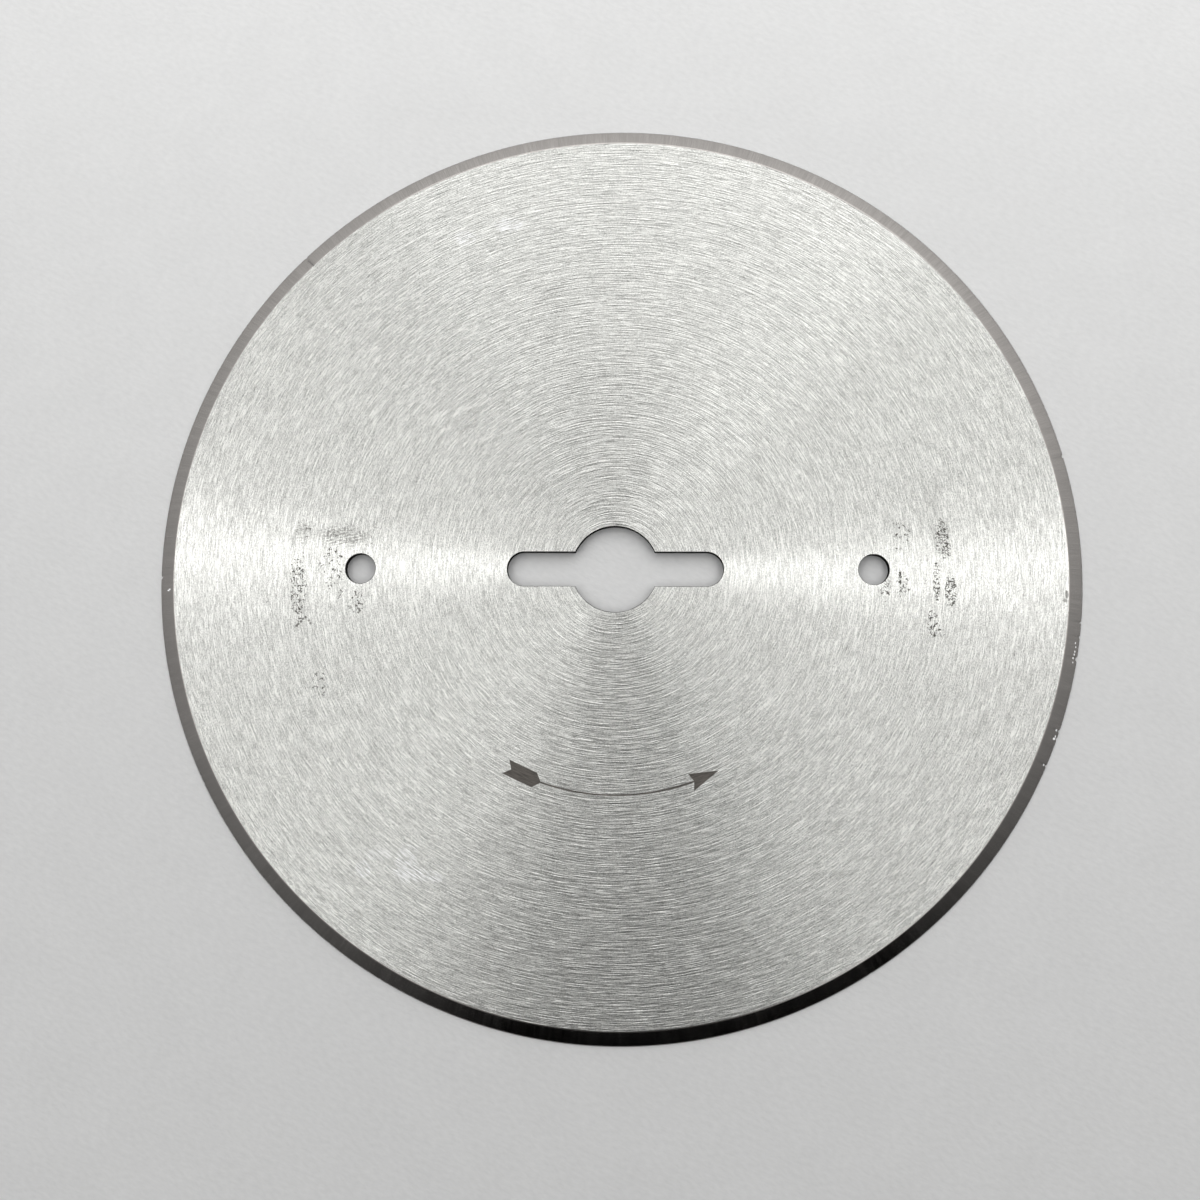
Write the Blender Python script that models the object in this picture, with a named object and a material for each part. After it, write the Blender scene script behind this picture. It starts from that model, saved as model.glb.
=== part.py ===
"""Round cutter knife: a flat steel disc with a keyed hub and an edge ground from its marked side.

The disc lies on the XY plane with its marked side up. The origin is the centre of
the hub's bore on the flat underside, +Z is the turning axis, and the key slots and
the pin holes lie along X.
"""

import math

import bmesh
import bpy

MM = 0.001

# Disc
KNIFE_DIAMETER = 107.0 * MM
PLATE_THICKNESS = 1.0 * MM
BEVEL_WIDTH = 1.8 * MM
HONED_WIDTH = 0.12 * MM
HONED_HEIGHT = 0.15 * MM
EDGE_LAND = 0.03 * MM
RIM_SEGMENTS = 240

# Hub: a round bore crossed by one straight slot with full-round ends
BORE_DIAMETER = 10.0 * MM
KEY_SLOT_WIDTH = 4.0 * MM
KEY_SLOT_LENGTH = 25.0 * MM
BORE_ARC_SEGMENTS = 48
SLOT_END_SEGMENTS = 24

# Two holes for the driving pins
PIN_HOLE_DIAMETER = 3.5 * MM
PIN_HOLE_SPACING = 59.3 * MM
PIN_HOLE_SEGMENTS = 48

SMOOTH_UNDER = math.radians(15.0)

STEEL_COLOUR = (0.62, 0.62, 0.61, 1.0)
STEEL_ROUGHNESS = 0.32


def clear_scene():
    """Removes every object of the open scene."""
    for thing in list(bpy.data.objects):
        bpy.data.objects.remove(thing, do_unlink=True)


def brushed_steel():
    """The knife's one material: bare ground steel."""
    steel = bpy.data.materials.new("brushed_steel")
    steel.use_nodes = True
    shader = steel.node_tree.nodes["Principled BSDF"]
    shader.inputs["Base Color"].default_value = STEEL_COLOUR
    shader.inputs["Metallic"].default_value = 1.0
    shader.inputs["Roughness"].default_value = STEEL_ROUGHNESS
    steel.diffuse_color = STEEL_COLOUR
    return steel


def edge_section():
    """Section of the ground edge, as (radius, height), from the marked face out and down.

    The bevel falls from the marked face, a steeper honed bevel ends it, and a very
    narrow upright land closes the edge down to the flat underside.
    """
    edge_radius = KNIFE_DIAMETER / 2
    return [
        (edge_radius - BEVEL_WIDTH, PLATE_THICKNESS),
        (edge_radius - HONED_WIDTH, EDGE_LAND + HONED_HEIGHT),
        (edge_radius, EDGE_LAND),
        (edge_radius, 0.0),
    ]


def arc(centre_x, radius, start, end, segments):
    """Points of an arc about (centre_x, 0), from one angle to another, both included."""
    step = (end - start) / segments
    angles = [start + i * step for i in range(segments + 1)]
    return [(centre_x + radius * math.cos(a), radius * math.sin(a)) for a in angles]


def hub_outline():
    """The hub opening, anticlockwise: the bore's two arcs and, between them, the slot's round ends."""
    bore_radius = BORE_DIAMETER / 2
    slot_radius = KEY_SLOT_WIDTH / 2
    end_centre = KEY_SLOT_LENGTH / 2 - slot_radius
    corner = math.asin(slot_radius / bore_radius)
    quarter = math.pi / 2
    right_end = arc(end_centre, slot_radius, -quarter, quarter, SLOT_END_SEGMENTS)
    upper_bore = arc(0.0, bore_radius, corner, math.pi - corner, BORE_ARC_SEGMENTS)
    left_end = arc(-end_centre, slot_radius, quarter, 3 * quarter, SLOT_END_SEGMENTS)
    lower_bore = arc(0.0, bore_radius, math.pi + corner, math.tau - corner, BORE_ARC_SEGMENTS)
    return right_end + upper_bore + left_end + lower_bore


def pin_hole_outline(side):
    """The pin hole on one side of the hub: -1 for -X, 1 for +X."""
    centre_x = side * PIN_HOLE_SPACING / 2
    return arc(centre_x, PIN_HOLE_DIAMETER / 2, 0.0, math.tau, PIN_HOLE_SEGMENTS)[:-1]


def spin_edge(shape):
    """Turns the edge's section once round the axis, which makes both bevels and the land."""
    corners = [shape.verts.new((radius, 0.0, height)) for radius, height in edge_section()]
    sides = [shape.edges.new(pair) for pair in zip(corners, corners[1:])]
    bmesh.ops.spin(
        shape,
        geom=corners + sides,
        cent=(0.0, 0.0, 0.0),
        axis=(0.0, 0.0, 1.0),
        angle=math.tau,
        steps=RIM_SEGMENTS,
        use_merge=True,
    )


def raise_wall(shape, outline):
    """Stands the wall of an opening on its outline, from the underside up to the marked face."""
    feet = [shape.verts.new((x, y, 0.0)) for x, y in outline]
    loop = [shape.edges.new(pair) for pair in zip(feet, feet[1:] + feet[:1])]
    raised = bmesh.ops.extrude_edge_only(shape, edges=loop)["geom"]
    heads = [item for item in raised if isinstance(item, bmesh.types.BMVert)]
    bmesh.ops.translate(shape, verts=heads, vec=(0.0, 0.0, PLATE_THICKNESS))


def fill_face(shape, marked):
    """Fills the marked face or the underside, from the rim's ring in to the openings' outlines."""
    middle = PLATE_THICKNESS / 2
    open_edges = [edge for edge in shape.edges if edge.is_boundary]
    border = [edge for edge in open_edges if (edge.verts[0].co.z > middle) == marked]
    bmesh.ops.triangle_fill(shape, edges=border, use_beauty=True, normal=(0.0, 0.0, 1.0))


def round_knife():
    """The whole knife as one closed mesh."""
    shape = bmesh.new()
    spin_edge(shape)
    for outline in (hub_outline(), pin_hole_outline(-1), pin_hole_outline(1)):
        raise_wall(shape, outline)
    fill_face(shape, marked=True)
    fill_face(shape, marked=False)
    bmesh.ops.recalc_face_normals(shape, faces=shape.faces)
    mesh = bpy.data.meshes.new("round_knife")
    shape.to_mesh(mesh)
    shape.free()
    mesh.shade_smooth()
    mesh.set_sharp_from_angle(angle=SMOOTH_UNDER)
    return mesh


def main():
    clear_scene()
    mesh = round_knife()
    mesh.materials.append(brushed_steel())
    knife = bpy.data.objects.new("round_knife", mesh)
    bpy.context.scene.collection.objects.link(knife)


main()
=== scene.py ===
# %% [markdown]
# # A round cutter knife, dressed and photographed in Blender
#
# The knife is one flat disc of hardened steel, 107 mm across and 1 mm thick. Its marked side
# is brushed in circles, a bevel is ground round its rim, and a keyed hub opening and two pin
# holes let the machine drive it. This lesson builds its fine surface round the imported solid:
# first the frame and the camera, then the shape, then the finishes, and last the light.

# %% Load the frame
import math
import random

import bmesh
import bpy
from mathutils import Matrix, Vector


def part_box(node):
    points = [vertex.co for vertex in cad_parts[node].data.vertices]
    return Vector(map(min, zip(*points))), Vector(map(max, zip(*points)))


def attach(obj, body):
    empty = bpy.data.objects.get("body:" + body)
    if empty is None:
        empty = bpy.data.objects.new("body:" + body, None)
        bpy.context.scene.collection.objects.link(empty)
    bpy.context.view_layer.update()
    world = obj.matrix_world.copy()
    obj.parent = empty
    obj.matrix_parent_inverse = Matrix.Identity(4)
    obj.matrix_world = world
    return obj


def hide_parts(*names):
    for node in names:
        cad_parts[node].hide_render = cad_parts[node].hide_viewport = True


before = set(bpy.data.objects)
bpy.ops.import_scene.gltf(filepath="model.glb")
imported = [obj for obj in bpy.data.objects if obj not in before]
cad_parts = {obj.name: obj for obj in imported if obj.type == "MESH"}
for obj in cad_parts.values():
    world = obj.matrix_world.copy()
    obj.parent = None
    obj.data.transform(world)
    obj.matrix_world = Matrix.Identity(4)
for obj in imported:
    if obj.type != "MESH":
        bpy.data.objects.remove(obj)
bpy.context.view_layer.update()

MM = 0.001
NODE = "round_knife"
low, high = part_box(NODE)
KNIFE_DIAMETER = high.x - low.x
PLATE_THICKNESS = high.z - low.z
print("the solid measures", round(KNIFE_DIAMETER / MM, 3), "by", round(PLATE_THICKNESS / MM, 3), "mm")

# %% [markdown]
# ## The camera
#
# The photograph was taken by hand from just above the disc, a little to the side of the arrow.
# The camera could be turned by three angles, but its place and the point that it aims at are
# easier to check against the real thing, so those are the named values, with a small roll.

# %% Place the camera
CAMERA_PLACE = Vector((3.08, -17.55, 131.02)) * MM
CAMERA_AIM = Vector((-1.75, -3.50, 0.0)) * MM
CAMERA_ROLL = math.radians(0.4)
CAMERA_LENS = 34.09
SENSOR_WIDTH = 36.0


def camera_at(place, aim, roll):
    """A camera that looks from one point at another, with +Y up in the picture before its roll."""
    forward = (aim - place).normalized()
    right = forward.cross(Vector((0.0, 1.0, 0.0))).normalized()
    upright = Matrix((right, right.cross(forward), -forward)).transposed()
    camera = bpy.data.objects.new("camera", bpy.data.cameras.new("camera"))
    camera.matrix_world = Matrix.Translation(place) @ (upright @ Matrix.Rotation(roll, 3, "Z")).to_4x4()
    bpy.context.scene.collection.objects.link(camera)
    return camera


camera = camera_at(CAMERA_PLACE, CAMERA_AIM, CAMERA_ROLL)
camera.data.sensor_width = SENSOR_WIDTH
camera.data.lens = CAMERA_LENS
camera.data.clip_start = 10 * MM
bpy.context.scene.camera = camera
print("the camera stands", round((CAMERA_PLACE - CAMERA_AIM).length / MM), "mm from the disc")

# %% [markdown]
# ## Small helpers for node trees
#
# Blender's node trees can be drawn by hand in its editors. Here they are built in the script,
# so that every size has a name. A few helpers are enough: they feed a node's inputs, add a node
# or a sum, make a vector or take one apart, and start a tree with named sockets.


# %% Helpers for node trees
def feed(socket, value):
    """Wires another node's output into an input, or gives the input a constant."""
    if isinstance(value, bpy.types.NodeSocket):
        socket.id_data.links.new(value, socket)
    else:
        socket.default_value = value


def feed_all(node, inputs):
    """Feeds several inputs of a node, each by its name or place."""
    for name, value in inputs.items():
        feed(node.inputs[name], value)


def add(tree, kind, inputs=None, **settings):
    """Adds a node and feeds its inputs. The settings are its own properties."""
    node = tree.nodes.new(kind)
    for name, value in settings.items():
        setattr(node, name, value)
    feed_all(node, inputs or {})
    return node


def sum_of(tree, operation, *values, clamp=False):
    """Adds a Math node and returns its result."""
    inputs = dict(enumerate(values))
    return add(tree, "ShaderNodeMath", inputs, operation=operation, use_clamp=clamp).outputs[0]


def triple(tree, x, y, z):
    """A vector from three values."""
    return add(tree, "ShaderNodeCombineXYZ", {"X": x, "Y": y, "Z": z}).outputs[0]


def length_of(tree, vector):
    """A vector's length."""
    return add(tree, "ShaderNodeVectorMath", {0: vector}, operation="LENGTH").outputs["Value"]


def split(tree, vector):
    """A vector's X, Y and the distance from the axis."""
    x, y, _ = add(tree, "ShaderNodeSeparateXYZ", {0: vector}).outputs
    return x, y, length_of(tree, triple(tree, x, y, 0.0))


def new_tree(name, kind, inputs, outputs):
    """Starts a node tree with named sockets, and returns it with its inner inputs and outputs."""
    tree = bpy.data.node_groups.new(name, kind)
    for side, sockets in (("INPUT", inputs), ("OUTPUT", outputs)):
        for socket_name, socket_type in sockets.items():
            tree.interface.new_socket(name=socket_name, in_out=side, socket_type="NodeSocket" + socket_type)
    return tree, tree.nodes.new("NodeGroupInput").outputs, tree.nodes.new("NodeGroupOutput").inputs


print("the helpers are ready")

# %% [markdown]
# ## A section that is turned
#
# The ground edge has the same section all the way round, so it is drawn once and turned.
# A Screw modifier could do that. Geometry Nodes does it with Curve to Mesh, and Fillet Curve
# rounds the section's corners by a stated radius first, as a polishing wheel does.


# %% A section turned round the axis
def polyline(tree, points):
    """A curve through points given as (x, y), where each is a number or another node's output."""
    switch = add(tree, "GeometryNodeIndexSwitch", data_type="VECTOR")
    while len(switch.index_switch_items) < len(points):
        switch.index_switch_items.new()
    feed(switch.inputs["Index"], add(tree, "GeometryNodeInputIndex").outputs[0])
    for socket, (x, y) in zip(list(switch.inputs)[1:], points):
        feed(socket, triple(tree, x, y, 0.0))
    dots = add(tree, "GeometryNodePoints", {"Count": len(points), "Position": switch.outputs[0]})
    return add(tree, "GeometryNodePointsToCurves", {"Points": dots.outputs[0]}).outputs[0]


EDGE_SIZES = ["Edge Radius", "Thickness", "Bevel Width", "Honed Width", "Honed Height", "Edge Land",
              "Shoulder Radius", "Nick Reach"]
BORDER = 1.3  # the turned section reaches this many bevel widths in from the edge


def ground_edge_tree():
    """A node group that turns the section of the rim: shoulder, bevel, honed bevel and land."""
    sockets = {**{name: "Float" for name in EDGE_SIZES}, "Steps": "Int"}
    tree, given, result = new_tree("ground_edge", "GeometryNodeTree", sockets, {"Mesh": "Geometry"})
    border = sum_of(tree, "MULTIPLY", given["Bevel Width"], -BORDER)
    top = sum_of(tree, "MULTIPLY", given["Thickness"], -1.0)
    shoulder = sum_of(tree, "MULTIPLY", given["Bevel Width"], -1.0)
    honed = sum_of(tree, "MULTIPLY", given["Honed Width"], -1.0)
    honed_top = sum_of(tree, "MULTIPLY", sum_of(tree, "ADD", given["Edge Land"], given["Honed Height"]), -1.0)
    land_top = sum_of(tree, "MULTIPLY", given["Edge Land"], -1.0)
    sound = sum_of(tree, "MULTIPLY", given["Nick Reach"], -1.0)
    run = sum_of(tree, "SUBTRACT", shoulder, honed)
    part = sum_of(tree, "DIVIDE", sum_of(tree, "SUBTRACT", shoulder, sound), run)
    sound_top = sum_of(tree, "MULTIPLY_ADD", sum_of(tree, "SUBTRACT", honed_top, top), part, top)
    upper = [(border, top), (shoulder, top), (sound, sound_top), (honed, honed_top)]
    section = polyline(tree, upper + [(0.0, land_top), (0.0, 0.0), (border, 0.0)])
    corner = add(tree, "GeometryNodeInputIndex").outputs[0]
    is_shoulder = sum_of(tree, "COMPARE", corner, 1.0, 0.1)
    radius = sum_of(tree, "MULTIPLY", is_shoulder, given["Shoulder Radius"])
    inputs = {"Curve": section, "Radius": radius, "Count": 3}
    rounded = add(tree, "GeometryNodeFilletCurve", inputs, mode="POLY").outputs[0]
    inputs = {"Resolution": given["Steps"], "Radius": given["Edge Radius"]}
    circle = add(tree, "GeometryNodeCurvePrimitiveCircle", inputs).outputs[0]
    inputs = {"Curve": circle, "Profile Curve": rounded}
    feed(result["Mesh"], add(tree, "GeometryNodeCurveToMesh", inputs).outputs[0])
    return tree


GROUND_EDGE = ground_edge_tree()
print("the ground edge is a node group with", len(GROUND_EDGE.nodes), "nodes")

# %% [markdown]
# ## The openings
#
# The hub opening is a round bore crossed by one straight slot with full-round ends, and each
# pin hole is a circle. All three are cut straight through the hardened plate and have a hair-fine
# edge break. Each outline is a closed curve, and one group stands a wall on any of them.


# %% The hub outline and the wall of an opening
def arc(tree, radius, start, sweep, steps):
    """An arc about the centre, from one angle, as evenly spaced points."""
    inputs = {"Resolution": steps, "Radius": radius, "Start Angle": start, "Sweep Angle": sweep}
    return add(tree, "GeometryNodeCurveArc", inputs, mode="RADIUS").outputs[0]


def hub_outline_tree():
    """A node group that draws the hub opening: two arcs of the bore and the slot's two round ends."""
    inputs = {"Bore Diameter": "Float", "Slot Width": "Float", "Slot Length": "Float", "Steps": "Int"}
    tree, given, result = new_tree("hub_outline", "GeometryNodeTree", inputs, {"Outline": "Geometry"})
    bore_radius = sum_of(tree, "DIVIDE", given["Bore Diameter"], 2.0)
    slot_radius = sum_of(tree, "DIVIDE", given["Slot Width"], 2.0)
    corner = sum_of(tree, "ARCSINE", sum_of(tree, "DIVIDE", slot_radius, bore_radius))
    sweep = sum_of(tree, "SUBTRACT", math.pi, sum_of(tree, "MULTIPLY", corner, 2.0))
    reach = sum_of(tree, "SUBTRACT", sum_of(tree, "DIVIDE", given["Slot Length"], 2.0), slot_radius)
    half = add(tree, "GeometryNodeJoinGeometry")
    round_end = arc(tree, slot_radius, -math.pi / 2, math.pi, given["Steps"])
    inputs = {"Geometry": round_end, "Translation": triple(tree, reach, 0.0, 0.0)}
    slot_end = add(tree, "GeometryNodeTransform", inputs)
    bore_side = arc(tree, bore_radius, corner, sweep, given["Steps"])
    inputs = {"Geometry": half.outputs[0], "Rotation": (0.0, 0.0, math.pi)}
    other_half = add(tree, "GeometryNodeTransform", inputs)
    both = add(tree, "GeometryNodeJoinGeometry")
    halves = ((half, (bore_side, slot_end.outputs[0])), (both, (other_half.outputs[0], half.outputs[0])))
    for join, parts in halves:
        for part in parts:
            feed(join.inputs[0], part)
    dots = add(tree, "GeometryNodeCurveToPoints", {"Curve": both.outputs[0]}, mode="EVALUATED")
    line = add(tree, "GeometryNodePointsToCurves", {"Points": dots.outputs[0]})
    closed = add(tree, "GeometryNodeSetSplineCyclic", {"Geometry": line.outputs[0], "Cyclic": True})
    feed(result["Outline"], closed.outputs[0])
    return tree


def wall_tree():
    """A node group that stands a wall on a closed outline. The wall flares by the break at both faces."""
    inputs = {"Outline": "Geometry", "Foot": "Float", "Head": "Float", "Break": "Float"}
    tree, given, result = new_tree("opening_wall", "GeometryNodeTree", inputs, {"Mesh": "Geometry"})
    foot = sum_of(tree, "MULTIPLY", given["Foot"], -1.0)
    head = sum_of(tree, "MULTIPLY", given["Head"], -1.0)
    lower = (0.0, sum_of(tree, "SUBTRACT", foot, given["Break"]))
    upper = (0.0, sum_of(tree, "ADD", head, given["Break"]))
    section = polyline(tree, [(given["Break"], foot), lower, upper, (given["Break"], head)])
    level = add(tree, "GeometryNodeSetCurveNormal", {"Curve": given["Outline"]}, mode="Z_UP").outputs[0]
    inputs = {"Curve": level, "Profile Curve": section}
    feed(result["Mesh"], add(tree, "GeometryNodeCurveToMesh", inputs).outputs[0])
    return tree


HUB_OUTLINE = hub_outline_tree()
OPENING_WALL = wall_tree()
print("the hub outline takes", [item.name for item in HUB_OUTLINE.interface.items_tree])

# %% [markdown]
# ## The rotation arrow
#
# The arrow on the marked side is etched: its shaft follows a circle round the hub, with a barbed
# head and a feathered tail. Its corners are easiest to say in polar form, as an angle and a step
# in or out from the arrow's circle, so a short list of named sizes draws the whole outline.

# %% Draw the arrow's outline
ARROW_RADIUS = 25.8 * MM
ARROW_TAIL = math.radians(241.5)
ARROW_TIP = math.radians(297.3)
HEAD_LENGTH = 3.4 * MM
HEAD_WIDTH = 2.0 * MM
HEAD_NOTCH = 0.35 * MM
FEATHER_LENGTH = 3.6 * MM
FEATHER_WIDTH = 1.75 * MM
FEATHER_POINT = 0.8 * MM
FEATHER_NOTCH = 0.7 * MM
SHAFT_WIDTH = 0.18 * MM
SHAFT_STEPS = 40


def arrow_outline():
    """The arrow's corners, anticlockwise as seen from above, in the plane of the marked face."""
    turn = 1.0 / ARROW_RADIUS
    barbs = ARROW_TIP - HEAD_LENGTH * turn
    neck = barbs + HEAD_NOTCH * turn
    feather_end = ARROW_TAIL + FEATHER_LENGTH * turn
    shaft_start = feather_end + (FEATHER_POINT - SHAFT_WIDTH / 2) * turn
    steps = [shaft_start + (neck - shaft_start) * i / SHAFT_STEPS for i in range(SHAFT_STEPS + 1)]
    outer = [(angle, SHAFT_WIDTH / 2) for angle in steps]
    inner = [(angle, -SHAFT_WIDTH / 2) for angle in reversed(steps)]
    head = [(barbs, HEAD_WIDTH / 2), (ARROW_TIP, 0.0), (barbs, -HEAD_WIDTH / 2)]
    feather = [
        (feather_end, -FEATHER_WIDTH / 2),
        (ARROW_TAIL, -FEATHER_WIDTH / 2),
        (ARROW_TAIL + FEATHER_NOTCH * turn, 0.0),
        (ARROW_TAIL, FEATHER_WIDTH / 2),
        (feather_end, FEATHER_WIDTH / 2),
    ]
    polar = outer + head + inner + feather
    return [((ARROW_RADIUS + out) * math.cos(a), (ARROW_RADIUS + out) * math.sin(a)) for a, out in polar]


def closed_curve(name, points):
    """A closed poly curve object through points in the XY plane."""
    curve = bpy.data.curves.new(name, "CURVE")
    curve.dimensions = "3D"
    spline = curve.splines.new("POLY")
    spline.points.add(len(points) - 1)
    for point, (x, y) in zip(spline.points, points):
        point.co = (x, y, 0.0, 1.0)
    spline.use_cyclic_u = True
    drawn = bpy.data.objects.new(name, curve)
    bpy.context.scene.collection.objects.link(drawn)
    return drawn


arrow_curve = closed_curve("arrow_outline", arrow_outline())
print("the arrow's outline has", len(arrow_outline()), "corners")

# %% [markdown]
# ## The whole knife as one tree
#
# The knife is one piece, so its parts have to close into one skin. The turned edge and the
# walls leave open rings on both faces. Fill Curve closes each face between those rings, and
# the arrow's outline is one more ring on the marked face, with a floor a hair below it.


# %% Close the knife's skin
FINISHES = ["Marked Face", "Ground Bevel", "Honed Edge", "Cut Wall", "Underside", "Etched Mark"]
LEVEL = 0.9995
WELD = 0.0005 * MM


def placed(tree, group, inputs):
    """Adds one of this scene's node groups to a tree."""
    node = tree.nodes.new({"GEOMETRY": "GeometryNodeGroup", "SHADER": "ShaderNodeGroup"}[tree.type])
    node.node_tree = group
    feed_all(node, inputs)
    return node.outputs[0]


def joined(tree, *parts):
    """Joins several geometries."""
    join = add(tree, "GeometryNodeJoinGeometry")
    for part in parts:
        feed(join.inputs[0], part)
    return join.outputs[0]


def filled(tree, rings):
    """Fills flat closed curves with triangles, and leaves a ring inside another open."""
    return add(tree, "GeometryNodeFillCurve", {"Curve": rings}, mode="TRIANGLES").outputs[0]


def lifted(tree, geometry, height):
    """Moves a geometry up by a height."""
    inputs = {"Geometry": geometry, "Offset": triple(tree, 0.0, 0.0, height)}
    return add(tree, "GeometryNodeSetPosition", inputs).outputs[0]


def tagged(tree, geometry, finish, selection=True):
    """Notes on a geometry's faces, or on the selected ones, which of the FINISHES they have."""
    inputs = {"Geometry": geometry, "Selection": selection, "Name": "finish", "Value": FINISHES.index(finish)}
    return add(tree, "GeometryNodeStoreNamedAttribute", inputs, data_type="INT", domain="FACE").outputs[0]


def open_rings(tree, mesh, above, height):
    """The open edges of a mesh that lie above, or below, a height, as closed curves."""
    neighbours = add(tree, "GeometryNodeInputMeshEdgeNeighbors").outputs[0]
    place = add(tree, "ShaderNodeSeparateXYZ", {0: add(tree, "GeometryNodeInputPosition").outputs[0]})
    side = sum_of(tree, "GREATER_THAN" if above else "LESS_THAN", place.outputs["Z"], height)
    single = sum_of(tree, "COMPARE", neighbours, 1.0, 0.1)
    both = sum_of(tree, "MULTIPLY", side, single)
    return add(tree, "GeometryNodeMeshToCurve", {"Mesh": mesh, "Selection": both}).outputs[0]


def knife_tree():
    """The tree of the whole knife, from its named sizes to one closed mesh."""
    sizes = EDGE_SIZES + ["Bore Diameter", "Slot Width", "Slot Length", "Pin Diameter", "Pin Spacing",
                          "Edge Break", "Etch Depth"]
    sockets = {name: "Float" for name in sizes}
    sockets.update({"Rim Steps": "Int", "Hole Steps": "Int", "Arrow": "Object"})
    sockets.update({name: "Material" for name in FINISHES})
    tree, given, result = new_tree("knife", "GeometryNodeTree", sockets, {"Mesh": "Geometry"})

    edge_sizes = {name: given[name] for name in EDGE_SIZES}
    edge = placed(tree, GROUND_EDGE, {**edge_sizes, "Steps": given["Rim Steps"]})
    _, _, radius = split(tree, add(tree, "GeometryNodeInputPosition").outputs[0])
    normal = add(tree, "GeometryNodeInputNormal").outputs[0]
    upright = add(tree, "ShaderNodeSeparateXYZ", {0: normal}).outputs["Z"]
    honed = sum_of(tree, "SUBTRACT", given["Edge Radius"], given["Honed Width"])
    edge = tagged(tree, edge, "Marked Face")
    edge = tagged(tree, edge, "Ground Bevel", sum_of(tree, "LESS_THAN", upright, LEVEL))
    edge = tagged(tree, edge, "Honed Edge", sum_of(tree, "GREATER_THAN", radius, honed))
    edge = tagged(tree, edge, "Underside", sum_of(tree, "LESS_THAN", upright, -LEVEL))

    hub_sizes = {name: given[name] for name in ("Bore Diameter", "Slot Width", "Slot Length")}
    outlines = [placed(tree, HUB_OUTLINE, {**hub_sizes, "Steps": given["Hole Steps"]})]
    pin_radius = sum_of(tree, "DIVIDE", given["Pin Diameter"], 2.0)
    circle_inputs = {"Resolution": given["Hole Steps"], "Radius": pin_radius}
    pin_circle = add(tree, "GeometryNodeCurvePrimitiveCircle", circle_inputs).outputs[0]
    for side in (-0.5, 0.5):
        place_x = sum_of(tree, "MULTIPLY", given["Pin Spacing"], side)
        inputs = {"Geometry": pin_circle, "Translation": triple(tree, place_x, 0.0, 0.0)}
        outlines.append(add(tree, "GeometryNodeTransform", inputs).outputs[0])
    wall_sizes = {"Foot": 0.0, "Head": given["Thickness"], "Break": given["Edge Break"]}
    walls = placed(tree, OPENING_WALL, {"Outline": joined(tree, *outlines), **wall_sizes})
    skin = joined(tree, edge, tagged(tree, walls, "Cut Wall"))

    middle = sum_of(tree, "DIVIDE", given["Thickness"], 2.0)
    arrow = add(tree, "GeometryNodeObjectInfo", {"Object": given["Arrow"]}).outputs["Geometry"]
    face_rings = joined(tree, open_rings(tree, skin, True, middle), arrow)
    face = lifted(tree, filled(tree, face_rings), given["Thickness"])
    underside = filled(tree, open_rings(tree, skin, False, middle))
    underside = add(tree, "GeometryNodeFlipFaces", {"Mesh": underside}).outputs[0]
    etched_level = sum_of(tree, "SUBTRACT", given["Thickness"], given["Etch Depth"])
    etched_sizes = {"Foot": etched_level, "Head": given["Thickness"], "Break": 0.0}
    etched_wall = placed(tree, OPENING_WALL, {"Outline": arrow, **etched_sizes})
    etched = joined(tree, lifted(tree, filled(tree, arrow), etched_level), etched_wall)

    flats = (("Marked Face", face), ("Underside", underside), ("Etched Mark", etched))
    whole = joined(tree, skin, *[tagged(tree, flat, finish) for finish, flat in flats])
    merged = add(tree, "GeometryNodeMergeByDistance", {"Geometry": whole, "Distance": WELD}).outputs[0]
    geometry = add(tree, "GeometryNodeRealizeInstances", {"Geometry": merged}).outputs[0]
    tag = add(tree, "GeometryNodeInputNamedAttribute", {"Name": "finish"}, data_type="INT").outputs[0]
    for number, finish in enumerate(FINISHES):
        chosen = sum_of(tree, "COMPARE", tag, float(number), 0.1)
        paint = {"Geometry": geometry, "Selection": chosen, "Material": given[finish]}
        geometry = add(tree, "GeometryNodeSetMaterial", paint).outputs[0]
    feed(result["Mesh"], geometry)
    return tree


KNIFE_TREE = knife_tree()
print("the knife's tree has", len(KNIFE_TREE.nodes), "nodes")

# %% [markdown]
# ## The knife's real sizes
#
# The diameter and the thickness come from the solid. The rest are the same real sizes that the
# solid was drawn from, in millimetres, so the fine surface fits it all the way round. The rim
# gets 3600 steps, so a nick a few tenths of a millimetre long still has a shape of its own.

# %% Build the knife
SIZES = {
    "Edge Radius": KNIFE_DIAMETER / 2,
    "Thickness": PLATE_THICKNESS,
    "Bevel Width": 1.8 * MM,
    "Honed Width": 0.12 * MM,
    "Honed Height": 0.15 * MM,
    "Edge Land": 0.03 * MM,
    "Shoulder Radius": 0.4 * MM,
    "Nick Reach": 0.35 * MM,
    "Bore Diameter": 10.0 * MM,
    "Slot Width": 4.0 * MM,
    "Slot Length": 25.0 * MM,
    "Pin Diameter": 3.5 * MM,
    "Pin Spacing": 59.3 * MM,
    "Edge Break": 0.05 * MM,
    "Etch Depth": 0.015 * MM,
    "Rim Steps": 3600,
    "Hole Steps": 96,
    "Arrow": arrow_curve,
}
materials = {name: bpy.data.materials.new(name.lower().replace(" ", "_")) for name in FINISHES}


def set_inputs(modifier, values):
    """Sets a Geometry Nodes modifier's inputs, each by its socket's identifier."""
    for item in modifier.node_group.interface.items_tree:
        if item.in_out == "INPUT" and item.name in values:
            modifier[item.identifier] = values[item.name]


def plain_mesh(piece):
    """Turns what a piece's modifiers make into its own mesh, and removes the modifiers."""
    evaluated = piece.evaluated_get(bpy.context.evaluated_depsgraph_get())
    mesh = bpy.data.meshes.new_from_object(evaluated)
    piece.modifiers.clear()
    piece.data = mesh


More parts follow.
